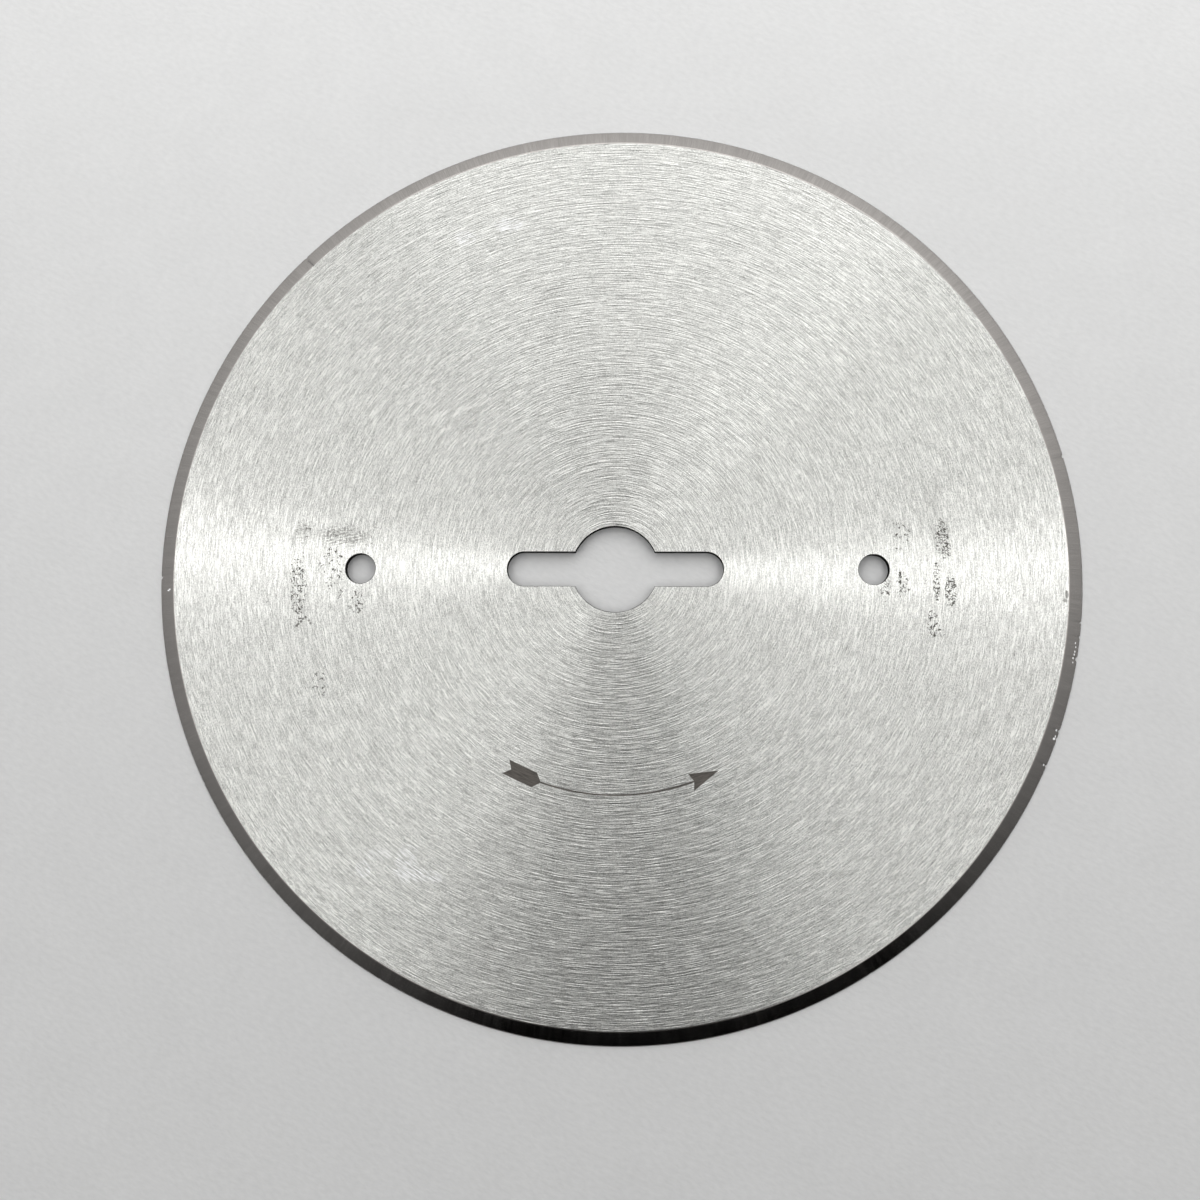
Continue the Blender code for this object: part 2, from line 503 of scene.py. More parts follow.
knife = bpy.data.objects.new("knife_plate", bpy.data.meshes.new("knife_plate"))
bpy.context.scene.collection.objects.link(knife)
shaper = knife.modifiers.new("knife", "NODES")
shaper.node_group = KNIFE_TREE
set_inputs(shaper, {**SIZES, **materials})
plain_mesh(knife)
bpy.data.objects.remove(arrow_curve)
print("the knife has", sum(len(face.vertices) - 2 for face in knife.data.polygons), "triangles")

# %% [markdown]
# ## Nicks in the edge
#
# A knife edge this thin picks up small nicks in handling. A Boolean cut could make each one,
# but a nick is only a short stretch of the rim that gives way, so its points are pushed in
# and eased back to the sound edge on both sides. A few more, too small to name, are scattered.

# %% Nick the edge
NICKS = [
    (14.5, 0.5, 0.14), (353.6, 0.4, 0.16), (351.8, 0.35, 0.12), (349.1, 0.7, 0.2), (340.0, 0.5, 0.14),
    (339.0, 0.35, 0.1), (335.5, 0.45, 0.14), (181.1, 0.45, 0.18), (134.7, 0.35, 0.1),
]
SMALL_NICKS = 26
NICK_SEED = 7
SHARP_FROM = math.radians(12.0)


def nick_list():
    """The nicks as (angle, half length, depth): those seen on the knife, then small scattered ones."""
    chance = random.Random(NICK_SEED)
    found = [(math.radians(angle), length * MM / 2, depth * MM) for angle, length, depth in NICKS]
    for _ in range(SMALL_NICKS):
        angle = chance.uniform(0.0, math.tau)
        found.append((angle, chance.uniform(0.08, 0.2) * MM, chance.uniform(0.02, 0.06) * MM))
    return found


def nick_edge(mesh, nicks):
    """Pushes the rim's points in towards the axis at each nick, most at the edge itself."""
    edge_radius = KNIFE_DIAMETER / 2
    for vertex in mesh.vertices:
        radius = vertex.co.xy.length
        outer = 1.0 - (edge_radius - radius) / SIZES["Nick Reach"]
        if outer <= 0.0:
            continue
        angle = math.atan2(vertex.co.y, vertex.co.x)
        for place, half_length, depth in nicks:
            away = abs(math.remainder(angle - place, math.tau)) * edge_radius / half_length
            if away < 1.0:
                push = depth * outer * (1.0 - away * away) ** 2
                vertex.co.x -= push * math.cos(angle)
                vertex.co.y -= push * math.sin(angle)


nick_edge(knife.data, nick_list())
knife.data.attributes.remove(knife.data.attributes["finish"])
knife.data.shade_smooth()
knife.data.set_sharp_from_angle(angle=SHARP_FROM)
print("the edge has", len(nick_list()), "nicks")

# %% [markdown]
# ## Grain that follows the work
#
# The face was brushed while the disc turned, so every stroke lies along a circle round the hub.
# A picture of such strokes would need a UV map. Noise does it without one: read with the radius
# as a third axis and stretched, it gives strokes of one length and width at any distance from
# the hub. The same idea, turned a quarter, gives the lines that a grinding cup leaves across
# the bevel, and read along one direction it gives straight scratches.


# %% Node groups for the grain
def noise(tree, vector, detail=2.0, roughness=0.5):
    """Noise read at a vector that is already in units of its own grain."""
    inputs = {"Vector": vector, "Scale": 1.0, "Detail": detail, "Roughness": roughness}
    return add(tree, "ShaderNodeTexNoise", inputs, noise_dimensions="3D").outputs[0]


def spread(tree, value, low_end, high_end, smooth=True):
    """Stretches the part of a value between two levels to the whole of 0 to 1."""
    inputs = {"Value": value, "From Min": low_end, "From Max": high_end}
    kind = "SMOOTHSTEP" if smooth else "LINEAR"
    return add(tree, "ShaderNodeMapRange", inputs, interpolation_type=kind).outputs[0]


def turned(tree, vector, angle):
    """A vector turned round the axis by an angle."""
    inputs = {"Vector": vector, "Angle": angle}
    return add(tree, "ShaderNodeVectorRotate", inputs, rotation_type="Z_AXIS").outputs[0]


def worked(tree, operation, first, second):
    """Adds two vectors, or takes away, multiplies or divides them part by part."""
    return add(tree, "ShaderNodeVectorMath", {0: first, 1: second}, operation=operation).outputs[0]


GRAIN_INPUTS = {"Vector": "Vector", "Length": "Float", "Width": "Float", "Seed": "Float"}


def waver_group():
    """A slow waver of strokes that run along circles, as of a pad held by hand: a step in or out."""
    inputs = {"Vector": "Vector", "Length": "Float", "Reach": "Float", "Seed": "Float"}
    tree, given, result = new_tree("waver", "ShaderNodeTree", inputs, {"Value": "Float"})
    x, y, _ = split(tree, given["Vector"])
    along = [sum_of(tree, "DIVIDE", axis, given["Length"]) for axis in (x, y)]
    wave = noise(tree, triple(tree, *along, given["Seed"]), 1.0)
    feed(result["Value"], sum_of(tree, "MULTIPLY", sum_of(tree, "SUBTRACT", wave, 0.5), given["Reach"]))
    return tree


def concentric_grain_group():
    """Strokes along circles round the axis. Shift moves them in or out, and a waver can feed it."""
    inputs = {**GRAIN_INPUTS, "Shift": "Float"}
    tree, given, result = new_tree("concentric_grain", "ShaderNodeTree", inputs, {"Value": "Float"})
    x, y, radius = split(tree, given["Vector"])
    along = [sum_of(tree, "DIVIDE", axis, given["Length"]) for axis in (x, y)]
    across = sum_of(tree, "DIVIDE", sum_of(tree, "ADD", radius, given["Shift"]), given["Width"])
    feed(result["Value"], noise(tree, triple(tree, *along, sum_of(tree, "ADD", across, given["Seed"]))))
    return tree


def radial_grain_group():
    """Lines that run straight out from the axis, as wide at any one radius as they are long."""
    tree, given, result = new_tree("radial_grain", "ShaderNodeTree", GRAIN_INPUTS, {"Value": "Float"})
    x, y, radius = split(tree, given["Vector"])
    turn = sum_of(tree, "DIVIDE", KNIFE_DIAMETER / 2, sum_of(tree, "MULTIPLY", given["Width"], radius))
    around = [sum_of(tree, "MULTIPLY", axis, turn) for axis in (x, y)]
    outward = sum_of(tree, "ADD", sum_of(tree, "DIVIDE", radius, given["Length"]), given["Seed"])
    feed(result["Value"], noise(tree, triple(tree, *around, outward)))
    return tree


def straight_grain_group():
    """Straight scratches, all at one angle to X."""
    inputs = {**GRAIN_INPUTS, "Angle": "Float"}
    tree, given, result = new_tree("straight_grain", "ShaderNodeTree", inputs, {"Value": "Float"})
    x, y, _ = split(tree, turned(tree, given["Vector"], given["Angle"]))
    along = sum_of(tree, "DIVIDE", x, given["Length"])
    across = sum_of(tree, "DIVIDE", y, given["Width"])
    feed(result["Value"], noise(tree, triple(tree, along, across, given["Seed"])))
    return tree


WAVER = waver_group()
CONCENTRIC_GRAIN = concentric_grain_group()
RADIAL_GRAIN = radial_grain_group()
STRAIGHT_GRAIN = straight_grain_group()
print("three grains:", [group.name for group in (CONCENTRIC_GRAIN, RADIAL_GRAIN, STRAIGHT_GRAIN)])

# %% [markdown]
# ## Wear and painted glints in patches
#
# The brushed face isn't even. Clusters of small dark pits sit beside the pin holes and on a
# ring outside them, where another plate was pressed on it, with a few scuffs, spots and faint
# stains, and in a few patches some strokes are painted white as painted glints. One group says
# how near a point is to a patch, and one draws the crooked pits themselves.


# %% Node groups for the wear and the painted glints
PATCH_CORE = 0.6  # a patch is full up to here, as a share of its half size
PATCH_BORDER = 1.1  # and gone from here on
LINE_LEVELS = (0.09, 0.04)  # how near its middle a noise has to be for a pit to start and to be full
BREAK_OFFSET = (7.3, 2.1, 5.5)  # where the noise that breaks the pits up is read
NO_PITS = 0.8  # above what that noise reaches, and full coverage lowers it by the range
PIT_RANGE = 0.42


def patch_group():
    """The strength of an oval patch: full in its middle, and falling to 0 at its border."""
    inputs = {"Vector": "Vector", "Centre": "Vector", "Half Size": "Vector", "Strength": "Float"}
    tree, given, result = new_tree("patch", "ShaderNodeTree", inputs, {"Value": "Float"})
    away = worked(tree, "SUBTRACT", given["Vector"], given["Centre"])
    distance = length_of(tree, worked(tree, "DIVIDE", away, given["Half Size"]))
    inside = spread(tree, distance, PATCH_BORDER, PATCH_CORE)
    feed(result["Value"], sum_of(tree, "MULTIPLY", inside, given["Strength"]))
    return tree


def pits_group():
    """Crooked dark pits. Coverage, from 0 to 1, says how many of them there are at a point."""
    inputs = {"Vector": "Vector", "Size": "Float", "Coverage": "Float"}
    tree, given, result = new_tree("pits", "ShaderNodeTree", inputs, {"Value": "Float"})
    scaled = worked(tree, "DIVIDE", given["Vector"], triple(tree, *[given["Size"]] * 3))
    crooked = sum_of(tree, "ABSOLUTE", sum_of(tree, "SUBTRACT", noise(tree, scaled, 1.0), 0.5))
    lines = spread(tree, crooked, *LINE_LEVELS)
    broken = noise(tree, worked(tree, "ADD", scaled, BREAK_OFFSET), 1.0)
    threshold = sum_of(tree, "SUBTRACT", NO_PITS, sum_of(tree, "MULTIPLY", given["Coverage"], PIT_RANGE))
    kept = spread(tree, sum_of(tree, "SUBTRACT", broken, threshold), 0.0, 0.05)
    feed(result["Value"], sum_of(tree, "MULTIPLY", lines, kept))
    return tree


PATCH = patch_group()
PITS = pits_group()
print("two groups of wear:", PATCH.name, "and", PITS.name)

# %% [markdown]
# ## Brushed steel
#
# Brushed steel is a mirror broken into fine grooves, so a light is smeared across them and not
# along them. That makes the two bright fans that point at the lamps. A bump alone would have to
# be finer than a pixel to do this, so the shader's own Anisotropic does it, with its tangent
# turned round the axis. The visible strokes then vary the colour, the roughness and the bump.

# %% The marked face and the underside
STEEL = (0.65, 0.651, 0.623)
SHADE = 0.42  # the darkest stroke is this much below the steel's colour, and the brightest above it
LONG_STROKES, SHORT_STROKES = (2.0, 0.115), (1.0, 0.08)  # length and width of a stroke, in millimetres
DUST, MOTTLE, RIDGES = (0.17, 0.095), (3.2, 1.6), (3.4, 0.15)
WAVER_LENGTH, WAVER_REACH = 2.0 * MM, 0.3 * MM
SCUFF_ROWS, SCUFF_DOTS, SCUFF_ANGLE = (4.0, 0.34), (0.25, 0.25), math.radians(-12.0)
ROW_LEVELS, DOT_LEVELS, PAINTED_GLINT_LEVELS = (0.1, 0.05), (-0.1, 0.02), (-0.01, 0.06)
SCUFF_STRENGTH, STAIN_STRENGTH = 0.55, 0.12
# the glint weight paints a few strokes lighter in colour, as painted glints
STROKE_WEIGHT, PAINTED_GLINT_WEIGHT = 0.8, 7.0
STROKE_TONE, DUST_TONE, MOTTLE_TONE = 1.45, 2.3, 0.22
BRUSH_DEPTH = 0.092 * MM
BRUSH_ROUGHNESS, STROKE_ROUGHNESS, WEAR_ROUGHNESS = 0.3, 0.1, 0.2
PIT_SIZE = 0.34 * MM
PIT_TINT = (0.18, 0.17, 0.16)
WHITE = (1.0, 1.0, 1.0)
QUARTER_TURN = 0.25  # the shader counts a whole turn as 1
PIT_PATCHES = [
    (-36.9, -2.4, 1.2, 5.3, 0.76), (-36.5, 4.4, 1.2, 2.0, 0.5), (-33.1, 0.1, 1.7, 3.6, 0.55),
    (-30.0, -4.1, 1.0, 1.7, 0.75), (-31.8, -3.1, 0.6, 0.9, 0.7), (-28.5, 3.6, 1.0, 1.9, 0.45),
    (37.4, 3.9, 1.0, 2.5, 1.0), (37.9, 2.3, 0.8, 1.3, 1.0), (36.7, -1.4, 0.5, 3.6, 0.85),
    (38.3, -2.4, 0.8, 2.5, 0.95), (36.1, -6.1, 0.8, 2.0, 0.8), (37.3, -7.0, 0.7, 1.2, 0.65),
    (32.9, 3.9, 1.5, 2.7, 0.5), (32.9, -1.6, 1.0, 1.9, 0.75), (30.9, -2.3, 0.8, 1.7, 0.75),
    (-34.0, -13.4, 1.1, 2.1, 0.5),
]
SPOT_PATCHES = [
    (51.3, -2.8, 0.22, 0.55, 0.6), (51.1, -3.5, 0.3, 0.25, 0.5), (-36.9, -6.7, 0.18, 0.18, 0.8),
    (-36.7, -6.5, 0.18, 0.18, 0.8), (-36.4, -6.2, 0.18, 0.18, 0.8), (-36.2, -5.9, 0.18, 0.18, 0.8),
    (-35.9, -5.7, 0.18, 0.18, 0.8), (-35.5, -6.1, 0.16, 0.16, 0.7), (-35.3, -6.4, 0.16, 0.16, 0.7),
]
# patches where a few strokes are painted white and less metallic: painted glints
PAINTED_GLINT_PATCHES = [
    (-28.3, -34.3, 1.0, 1.1, 1.0), (-23.5, -34.2, 1.6, 1.7, 1.0), (-21.8, -34.9, 2.2, 0.8, 1.0),
    (-23.3, -32.5, 1.3, 1.2, 0.69), (-20.3, -35.2, 1.4, 0.6, 1.0), (-26.6, -32.7, 1.7, 0.8, 0.56),
    (-18.2, 40.0, 1.4, 1.0, 0.88), (-13.0, 41.5, 1.9, 1.0, 0.88),
]
SCUFF_PATCHES = [(-31.7, 3.9, 3.23, 1.5, 1.0), (-36.5, 4.1, 1.16, 1.39, 0.6)]
STAIN_PATCHES = [(36.5, 8.3, 1.2, 3.0, 0.8), (37.4, 3.9, 1.2, 2.5, 1.0), (-36.8, -3.8, 1.4, 4.6, 0.3)]


def shader_of(material):
    """Readies a material's nodes, and returns its tree, its shader and its Object coordinates."""
    material.use_nodes = True
    tree = material.node_tree
    return tree, tree.nodes["Principled BSDF"], add(tree, "ShaderNodeTexCoord").outputs["Object"]


def grain(tree, group, vector, size, seed, **more):
    """One layer of a grain, centred on 0. Its size is a length and a width in millimetres."""
    sizes = {"Length": size[0] * MM, "Width": size[1] * MM}
    value = placed(tree, group, {"Vector": vector, **sizes, "Seed": seed, **more})
    return sum_of(tree, "SUBTRACT", value, 0.5)


def blended(tree, first, second, factor):
    """A colour between two, by a factor. Each is red, green and blue, or another node's output."""
    mix = add(tree, "ShaderNodeMix", data_type="RGBA")
    sockets = {socket.identifier: socket for socket in mix.inputs}
    feed(sockets["Factor_Float"], factor)
    for name, colour in (("A_Color", first), ("B_Color", second)):
        feed(sockets[name], (*colour, 1.0) if isinstance(colour, (list, tuple)) else colour)
    return next(socket for socket in mix.outputs if socket.identifier == "Result_Color")


def shades(colour, change):
    """A darker and a lighter shade of a colour."""
    return [[part * (1.0 + side * change) for part in colour] for side in (-1.0, 1.0)]


def in_patches(tree, vector, patches):
    """The strongest of several patches at a point. Each is a centre, half sizes in mm and a strength."""
    found = 0.0
    for x, y, half_x, half_y, strength in patches:
        sizes = {"Centre": (x * MM, y * MM, PLATE_THICKNESS), "Half Size": (half_x * MM, half_y * MM, 1.0)}
        patch = placed(tree, PATCH, {"Vector": vector, **sizes, "Strength": strength})
        found = sum_of(tree, "MAXIMUM", patch, found)
    return found


def weighed(tree, *layers):
    """A sum of layers, each a value and its weight."""
    total = 0.0
    for value, weight in layers:
        total = sum_of(tree, "MULTIPLY_ADD", value, weight, total)
    return total


def standing_out(tree, value, weight):
    """The square of what a value has above 0, times a weight: the few strokes painted lighter as glints."""
    above = sum_of(tree, "MAXIMUM", value, 0.0)
    return sum_of(tree, "MULTIPLY", sum_of(tree, "MULTIPLY", above, above), weight)


def wear_marks(tree, place, seed):
    """How dark the face is at a point: pits, rows of scuffs that cross the brushing, spots and stains."""
    coverage = in_patches(tree, place, PIT_PATCHES)
    pits = placed(tree, PITS, {"Vector": place, "Size": PIT_SIZE, "Coverage": coverage})
    rows = grain(tree, STRAIGHT_GRAIN, place, SCUFF_ROWS, seed + 31.0, Angle=SCUFF_ANGLE)
    rows = spread(tree, sum_of(tree, "ABSOLUTE", rows), *ROW_LEVELS)
    dots = grain(tree, STRAIGHT_GRAIN, place, SCUFF_DOTS, seed + 37.0, Angle=0.0)
    scuffs = sum_of(tree, "MULTIPLY", rows, spread(tree, dots, *DOT_LEVELS))
    scuffs = sum_of(tree, "MULTIPLY", scuffs, in_patches(tree, place, SCUFF_PATCHES))
    stains = sum_of(tree, "MULTIPLY", in_patches(tree, place, STAIN_PATCHES), STAIN_STRENGTH)
    marks = sum_of(tree, "MAXIMUM", pits, sum_of(tree, "MULTIPLY", scuffs, SCUFF_STRENGTH))
    marks = sum_of(tree, "MAXIMUM", marks, in_patches(tree, place, SPOT_PATCHES))
    return sum_of(tree, "MAXIMUM", marks, stains)


def brushed_steel(material, seed, wear_and_glints):
    """Circular brushing, with the pits, scuffs, spots and painted white glints of the marked face if
    wear_and_glints is set.
    """
    tree, shader, place = shader_of(material)
    waver = placed(tree, WAVER, {"Vector": place, "Length": WAVER_LENGTH, "Reach": WAVER_REACH, "Seed": seed})
    long_strokes = grain(tree, CONCENTRIC_GRAIN, place, LONG_STROKES, seed, Shift=waver)
    short_strokes = grain(tree, CONCENTRIC_GRAIN, place, SHORT_STROKES, seed + 11.0, Shift=waver)
    dust = grain(tree, CONCENTRIC_GRAIN, place, DUST, seed + 17.0)
    mottle = grain(tree, CONCENTRIC_GRAIN, place, MOTTLE, seed + 23.0)
    ridges = grain(tree, CONCENTRIC_GRAIN, place, RIDGES, seed + 41.0)
    strokes = weighed(tree, (long_strokes, STROKE_WEIGHT), (short_strokes, STROKE_WEIGHT))
    # a few strokes are painted lighter here, as painted glints, and they also vary the roughness
    strokes = sum_of(tree, "ADD", strokes, standing_out(tree, strokes, PAINTED_GLINT_WEIGHT))
    tone = weighed(tree, (strokes, STROKE_TONE), (dust, DUST_TONE), (mottle, MOTTLE_TONE))
    tone = sum_of(tree, "ADD", 0.5, tone, clamp=True)
    colour = blended(tree, *shades(STEEL, SHADE), tone)
    roughness = sum_of(tree, "ADD", BRUSH_ROUGHNESS, sum_of(tree, "MULTIPLY", strokes, STROKE_ROUGHNESS))
    metallic = 1.0
    if wear_and_glints:
        marks = wear_marks(tree, place, seed)
        # painted glints: the brightest strokes in these patches are painted white and less metallic
        bright = spread(tree, strokes, *PAINTED_GLINT_LEVELS)
        painted_glints = sum_of(tree, "MULTIPLY", bright, in_patches(tree, place, PAINTED_GLINT_PATCHES))
        metallic = sum_of(tree, "SUBTRACT", 1.0, painted_glints)
        colour = worked(tree, "MULTIPLY", colour, blended(tree, WHITE, PIT_TINT, marks))
        colour = blended(tree, colour, WHITE, painted_glints)
        roughness = sum_of(tree, "ADD", roughness, sum_of(tree, "MULTIPLY", marks, WEAR_ROUGHNESS))
    bump = add(tree, "ShaderNodeBump", {"Height": ridges, "Strength": 1.0, "Distance": BRUSH_DEPTH})
    tangent = add(tree, "ShaderNodeTangent", direction_type="RADIAL", axis="Z").outputs[0]
    feed_all(shader, {"Base Color": colour, "Roughness": roughness, "Metallic": metallic})
    feed_all(shader, {"Normal": bump.outputs["Normal"], "Tangent": tangent})
    feed_all(shader, {"Anisotropic": 1.0, "Anisotropic Rotation": QUARTER_TURN})


brushed_steel(materials["Marked Face"], 0.0, True)
brushed_steel(materials["Underside"], 50.0, False)
print("the brushed faces have", len(materials["Marked Face"].node_tree.nodes), "nodes")

# %% [markdown]
# ## The ground edge, the cut walls and the etched mark
#
# The bevel was ground across, which leaves faint lines that run out to the edge, and it is
# satin and a little darker than the face. Small chips in it are painted white, as painted glints
# where they catch the light, and one short scratch is dark. The honed edge is finer, and its
# darker steel paints a thin line of shade along the very edge. The walls of the openings are
# rough from the cut, and their near-black colour, with almost no reflection, is painted shade.
# The etched arrow is dull and nearly black.

# %% The other finishes
BEVEL_STEEL = (0.323, 0.307, 0.292)
# the honed edge is darker than the bevel to paint a thin line of shade along the very edge
HONED_STEEL_WITH_EDGE_SHADE = (0.15, 0.142, 0.136)
# the cut walls' near-black colour is painted shade, the dark that the openings show
WALL_PAINTED_SHADE = (0.012, 0.0115, 0.011)
ETCHED_STEEL = (0.105, 0.095, 0.085)
# chips painted white and less metallic: painted glints where the chips catch the light
BEVEL_CHIP_GLINTS = [
    (-52.33, -2.6, 0.17, 0.1, 1.0), (-52.15, -2.48, 0.17, 0.1, 1.0), (52.3, -8.3, 0.09, 0.14, 0.9),
    (52.34, -8.75, 0.08, 0.13, 0.9), (52.21, -9.27, 0.09, 0.15, 0.9), (52.12, -9.6, 0.09, 0.15, 1.0),
    (51.96, -10.0, 0.09, 0.16, 1.0), (51.93, -10.5, 0.08, 0.13, 0.8), (49.84, -18.15, 0.13, 0.15, 1.0),
    (49.55, -19.1, 0.2, 0.16, 1.0), (49.72, -18.85, 0.1, 0.18, 0.8), (48.3, -22.02, 0.12, 0.14, 0.9),
]
BEVEL_SCRATCH = [(-37.2 + 0.21 * i, 37.43 - 0.2 * i, 0.16, 0.16, 0.75) for i in range(6)]
BEVEL_GLINTS_AND_SCRATCH = [(BEVEL_CHIP_GLINTS, WHITE), (BEVEL_SCRATCH, (0.08, 0.075, 0.07))]
GRIND_DEPTH = 0.0004 * MM
ROUGH_DEPTH = 0.01 * MM
UNEVEN = 0.3  # how far the grain changes the roughness


def plain_steel(material, steel, strokes, contrast, roughness, depth, metallic=1.0, marks=()):
    """Steel whose grain varies its colour by a contrast, its roughness, and its bump by a depth."""
    tree, shader, place = shader_of(material)
    value = strokes(tree, place)
    colour = blended(tree, *shades(steel, contrast), spread(tree, value, -0.2, 0.2, False))
    # a mark may be painted light: the bevel's white chips are painted glints, its scratch is a real dark mark
    for patches, mark in marks:
        found = in_patches(tree, place, patches)
        colour = blended(tree, colour, mark, found)
        metallic = sum_of(tree, "MULTIPLY", metallic, sum_of(tree, "SUBTRACT", 1.0, found))
    roughness = sum_of(tree, "ADD", roughness, sum_of(tree, "MULTIPLY", value, UNEVEN))
    bump = add(tree, "ShaderNodeBump", {"Height": value, "Strength": 1.0, "Distance": depth})
    feed_all(shader, {"Base Color": colour, "Roughness": roughness, "Metallic": metallic})
    feed(shader.inputs["Normal"], bump.outputs["Normal"])
    return shader


def bevel_lines(tree, place):
    """Fine lines across the bevel, over slower changes along it."""
    fine = grain(tree, RADIAL_GRAIN, place, (3.0, 0.12), 3.0)
    slow = grain(tree, RADIAL_GRAIN, place, (6.0, 1.4), 9.0)
    return weighed(tree, (fine, 0.7), (slow, 0.3))


def wall_lines(tree, place):
    """Lines down a wall: the height is left out of the place, so they run from face to face."""
    x, y, _ = split(tree, place)
    return grain(tree, STRAIGHT_GRAIN, triple(tree, x, y, 0.0), (0.08, 0.08), 5.0, Angle=0.0)


def etched_lines(tree, place):
    """The brushed strokes, as they show through the etched mark."""
    return grain(tree, CONCENTRIC_GRAIN, place, (1.2, 0.12), 0.0)


plain_steel(materials["Ground Bevel"], BEVEL_STEEL, bevel_lines, 0.11, 0.19, GRIND_DEPTH, marks=BEVEL_GLINTS_AND_SCRATCH)
# the honed edge's dark colour is partly steel and partly a painted line of shade
plain_steel(materials["Honed Edge"], HONED_STEEL_WITH_EDGE_SHADE, bevel_lines, 0.05, 0.3, GRIND_DEPTH)
# the cut walls are painted near-black as shade, and their low specular keeps them from reflecting light
wall = plain_steel(materials["Cut Wall"], WALL_PAINTED_SHADE, wall_lines, 0.4, 0.8, ROUGH_DEPTH, metallic=0.0)
feed(wall.inputs["Specular IOR Level"], 0.05)
plain_steel(materials["Etched Mark"], ETCHED_STEEL, etched_lines, 0.35, 0.55, ROUGH_DEPTH, metallic=0.6)
print("six finishes:", sorted(material.name for material in materials.values()))

# %% [markdown]
# ## The sheet of paper and the light
#
# The knife lies on a pale sheet of paper in soft light from a white ceiling. Two long windows,
# left and right, give the brushed face its two bright fans, and a wider one behind lights the
# paper from the top. Steel shows what is round it. A black card in front could make the dark
# wedge and the black stretch of the bevel, but its edges would show, so a dome of black net
# does, densest in front. A card overhead shades the paper. The camera sees neither of them.

# %% Lay the paper
PAPER = (0.69, 0.69, 0.686)
PAPER_WIDTH = 6.0
PAPER_DROP = 0.03 * MM


def paper_material():
    """Matt paper with a faint fibre grain."""
    material = bpy.data.materials.new("paper")
    tree, shader, place = shader_of(material)
    fibres = grain(tree, STRAIGHT_GRAIN, place, (0.9, 0.5), 2.0, Angle=0.4)
    clouds = grain(tree, STRAIGHT_GRAIN, place, (6.0, 6.0), 8.0, Angle=0.0)
    level = spread(tree, weighed(tree, (fibres, 0.7), (clouds, 0.3)), -0.25, 0.25, False)
    bump = add(tree, "ShaderNodeBump", {"Height": fibres, "Strength": 0.5, "Distance": 0.05 * MM})
    feed_all(shader, {"Base Color": blended(tree, *shades(PAPER, 0.05), level), "Roughness": 0.9})
    feed(shader.inputs["Normal"], bump.outputs["Normal"])
    return material


def built(name, shape, material):
    """Makes an object from a bmesh and a material."""
    mesh = bpy.data.meshes.new(name)
    shape.to_mesh(mesh)
    shape.free()
    mesh.materials.append(material)
    thing = bpy.data.objects.new(name, mesh)
    bpy.context.scene.collection.objects.link(thing)
    return thing


def square_sheet(name, side, place, material):
    """A flat square sheet with its middle at a place."""
    shape = bmesh.new()
    bmesh.ops.create_grid(shape, x_segments=1, y_segments=1, size=side / 2)
    bmesh.ops.translate(shape, verts=shape.verts, vec=place)
    return built(name, shape, material)


paper = square_sheet("paper_sheet", PAPER_WIDTH, (0.0, 0.0, -PAPER_DROP), paper_material())
print("the paper is", PAPER_WIDTH, "m wide")

# %% Set the lamps, the net and the card
WINDOW = {"elevation": 60.0, "distance": 0.42, "width": 0.011, "height": 0.13, "radiance": 11.0}
BACK_WINDOW = {"elevation": 30.0, "distance": 0.25, "width": 0.3, "height": 0.08, "radiance": 1.3}
LAMP_WATTS = math.pi  # the watts of a lamp of one square metre whose radiance is 1
NET_RADIUS, NET_STEPS = 0.45, 48
NET_MIDDLE, NET_SLOPE, NET_TILT = 0.53, 0.54, 0.12  # its density beside, and more in front and at right
NET_SIDE_START, NET_SIDE_END = math.radians(28.0), math.radians(52.0)  # it thins out between these heights
ARM_LOW_WIDTH, ARM_HIGH_WIDTH = math.radians(13.0), math.radians(5.0)  # a dense arm goes up over the front
ARM_EDGE, ARM_END, ARM_DENSITY = math.radians(12.0), math.radians(111.0), 0.92
CARD_SIDE = 0.13
CARD_PLACE = Vector((3.0, -12.0, 150.0)) * MM
CARD_BLACK = (0.002, 0.002, 0.002, 1.0)
HORIZON, CEILING, CEILING_EDGE = 1.0, 1.5, 0.6


def lamp(name, azimuth, elevation, distance, width, height, radiance):
    """A flat lamp that faces the knife. Its width lies level, and its radiance is what steel sees of it."""
    light = bpy.data.lights.new(name, "AREA")
    light.shape = "RECTANGLE"
    light.size = width
    light.size_y = height
    light.energy = radiance * width * height * LAMP_WATTS
    across, up = math.radians(azimuth), math.radians(elevation)
    toward = Vector((math.cos(across) * math.cos(up), math.sin(across) * math.cos(up), math.sin(up)))
    side = Vector((-math.sin(across), math.cos(across), 0.0))
    stand = bpy.data.objects.new(name, light)
    turn = Matrix((side, toward.cross(side), toward)).transposed().to_4x4()
    stand.matrix_world = Matrix.Translation(toward * distance) @ turn
    bpy.context.scene.collection.objects.link(stand)
    return stand


def eased(value, low_end, high_end):
    """0 at one end of a stretch and 1 at the other, with a smooth start and stop."""
    part = min(max((value - low_end) / (high_end - low_end), 0.0), 1.0)
    return part * part * (3.0 - 2.0 * part)


def net_density(point):
    """How dense the black net is at a point of its dome, from 0 for open to 1 for solid black."""
    reach = max(point.xy.length, 0.001)
    front = -point.y
    slope = NET_SLOPE + NET_TILT * point.x / reach
    height = math.atan2(point.z, reach)
    side = (NET_MIDDLE + slope * front / reach) * eased(height, NET_SIDE_END, NET_SIDE_START)
    across = math.atan2(abs(point.x), math.hypot(point.y, point.z))
    done = math.atan2(point.z, front) / ARM_END
    width = ARM_LOW_WIDTH + (ARM_HIGH_WIDTH - ARM_LOW_WIDTH) * done
    arm = ARM_DENSITY * eased(across, width + ARM_EDGE, width) * eased(done, 1.0, 0.9)
    return min(max(side, arm, 0.0), 1.0)


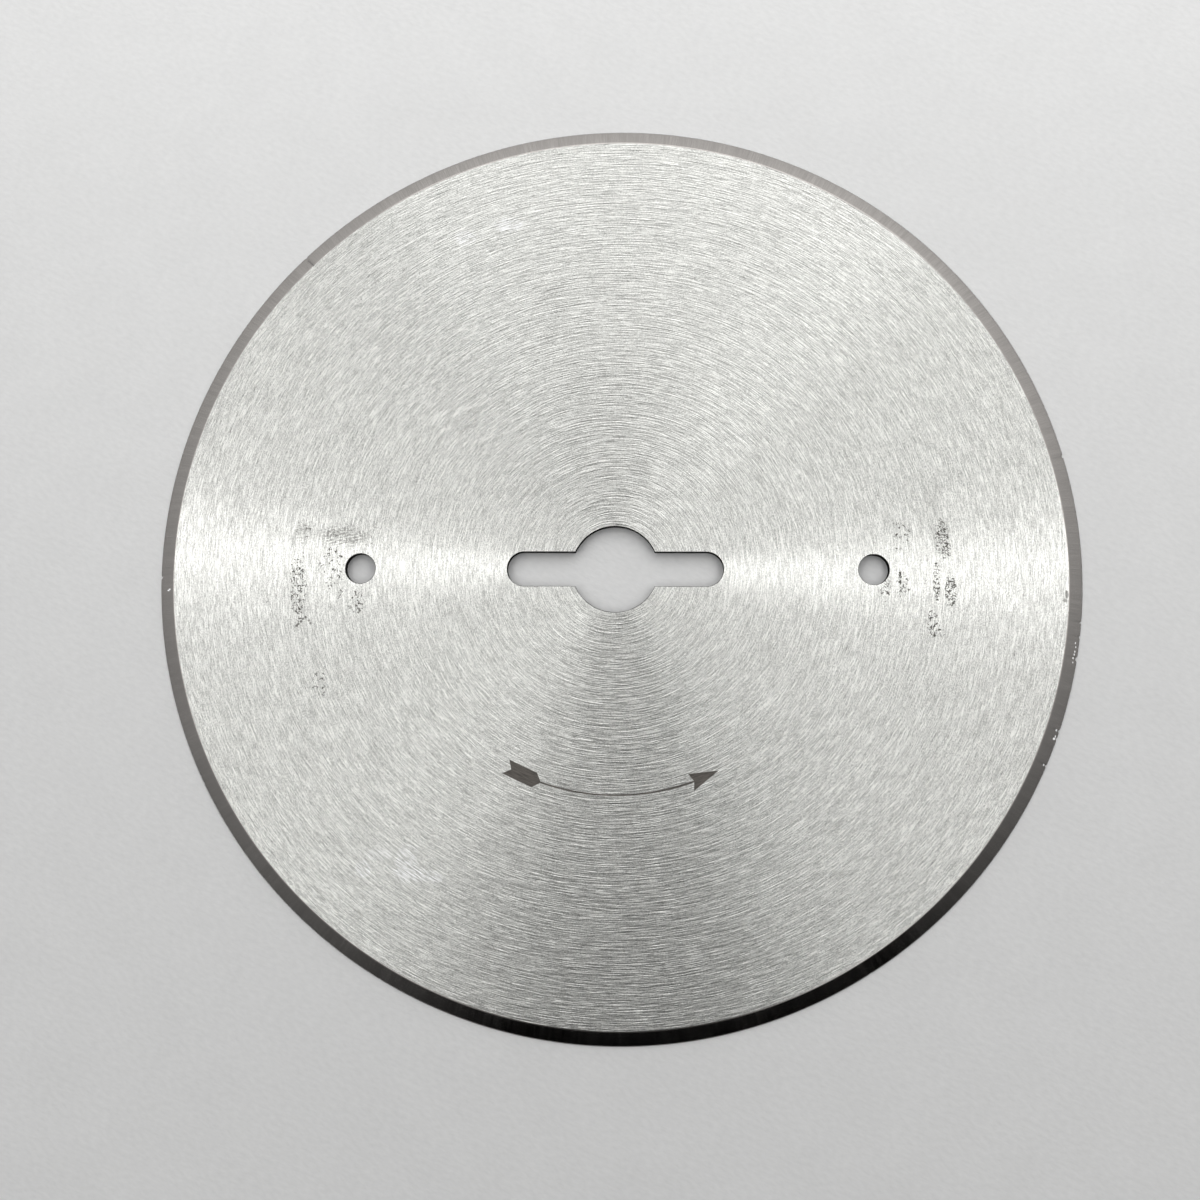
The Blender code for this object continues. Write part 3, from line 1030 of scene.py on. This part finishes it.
def black_net(radius):
    """A dome of black net, which only the steel and the paper see, densest in front of the knife."""
    shape = bmesh.new()
    openness = shape.verts.layers.float.new("openness")
    bmesh.ops.create_uvsphere(shape, u_segments=NET_STEPS * 2, v_segments=NET_STEPS, radius=radius)
    below = [vertex for vertex in shape.verts if vertex.co.z < -radius / NET_STEPS]
    bmesh.ops.delete(shape, geom=below, context="VERTS")
    for vertex in shape.verts:
        vertex[openness] = 1.0 - net_density(vertex.co)
    open_faces = [face for face in shape.faces if all(vertex[openness] == 1.0 for vertex in face.verts)]
    bmesh.ops.delete(shape, geom=open_faces, context="FACES")
    veil = bpy.data.materials.new("black_net")
    tree, _, _ = shader_of(veil)
    clear = add(tree, "ShaderNodeAttribute", attribute_name="openness").outputs["Fac"]
    see_through = add(tree, "ShaderNodeBsdfTransparent", {"Color": clear})
    feed(tree.nodes["Material Output"].inputs["Surface"], see_through.outputs[0])
    net = built("black_net", shape, veil)
    net.visible_camera = False
    return net


def overhead_card(place, side):
    """A black card over the knife, which only the paper sees: it shades the paper as a camera does."""
    black = bpy.data.materials.new("overhead_card")
    _, shader, _ = shader_of(black)
    feed_all(shader, {"Base Color": CARD_BLACK, "Roughness": 1.0, "Specular IOR Level": 0.0})
    card = square_sheet("overhead_card", side, place, black)
    card.visible_camera = False
    card.visible_glossy = False
    return card


def studio_world(horizon, ceiling):
    """A plain room: darker walls low down, and a white ceiling above."""
    world = bpy.data.worlds.new("studio")
    world.use_nodes = True
    tree = world.node_tree
    direction = add(tree, "ShaderNodeTexCoord").outputs["Generated"]
    up = add(tree, "ShaderNodeSeparateXYZ", {0: direction}).outputs["Z"]
    level = spread(tree, up, 0.0, CEILING_EDGE)
    strength = sum_of(tree, "ADD", horizon, sum_of(tree, "MULTIPLY", level, ceiling - horizon))
    feed_all(tree.nodes["Background"], {"Color": (*WHITE, 1.0), "Strength": strength})
    bpy.context.scene.world = world


lamp("window_left", 164.0, **WINDOW)
lamp("window_right", 14.0, **WINDOW)
lamp("window_back", 85.0, **BACK_WINDOW)
black_net(NET_RADIUS)
overhead_card(CARD_PLACE, CARD_SIDE)
studio_world(HORIZON, CEILING)
bpy.context.scene.view_settings.view_transform = "Standard"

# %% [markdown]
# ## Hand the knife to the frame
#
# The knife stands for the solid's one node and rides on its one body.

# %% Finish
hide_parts(NODE)
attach(knife, "root")
